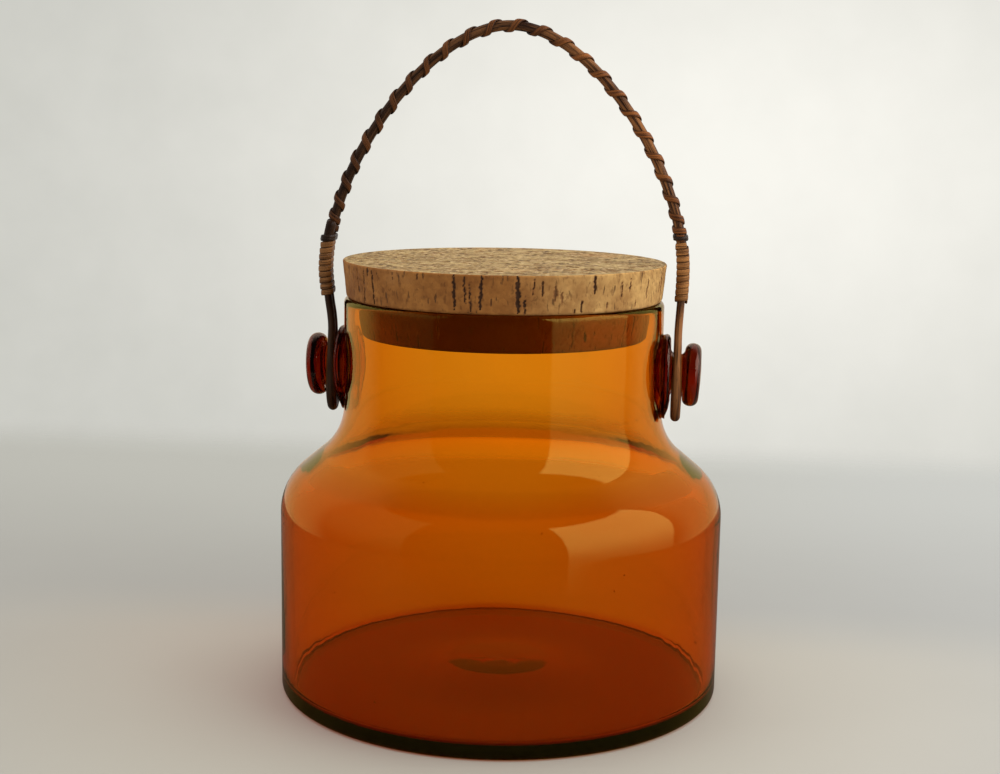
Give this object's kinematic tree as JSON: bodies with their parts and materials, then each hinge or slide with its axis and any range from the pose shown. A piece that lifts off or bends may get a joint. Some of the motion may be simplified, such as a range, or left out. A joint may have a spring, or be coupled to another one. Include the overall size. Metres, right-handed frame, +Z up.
{
  "type": "apothecary jar",
  "caption": "Wide amber glass storage jar with a stepped cork stopper and a strip-wound cane handle that swings on glass knobs at the neck.",
  "frame": {"origin": "middle of the foot, on the surface that the jar stands on", "axes": "+Z up along the jar's axis, X along the axis of the two knobs, -Y towards the front"},
  "size_m": [0.16, 0.16, 0.2405],
  "materials": {
    "jar_glass": "gloss",
    "knob_glass": "gloss",
    "cork": "matte",
    "cane": "satin",
    "strip": "satin",
    "tie": "satin"
  },
  "bodies": {
    "jar": {"glass_jar": "jar_glass", "left_knob": "knob_glass", "right_knob": "knob_glass"},
    "stopper": {"cork_stopper": "cork"},
    "handle": {"handle_cane": "cane", "spiral_wrap": "strip", "left_binding": "strip", "right_binding": "strip", "left_tie": "tie", "right_tie": "tie"}
  },
  "joints": [
    {"name": "stopper_lift", "type": "slide", "parent": "jar", "child": "stopper", "axis": [0, 0, 1], "range_m": [0, 0.014]},
    {"name": "handle_swing", "type": "hinge", "parent": "jar", "child": "handle", "pos_m": [0, 0, 0.11725], "axis": [1, 0, 0], "range_deg": [-123, 123]}
  ]
}
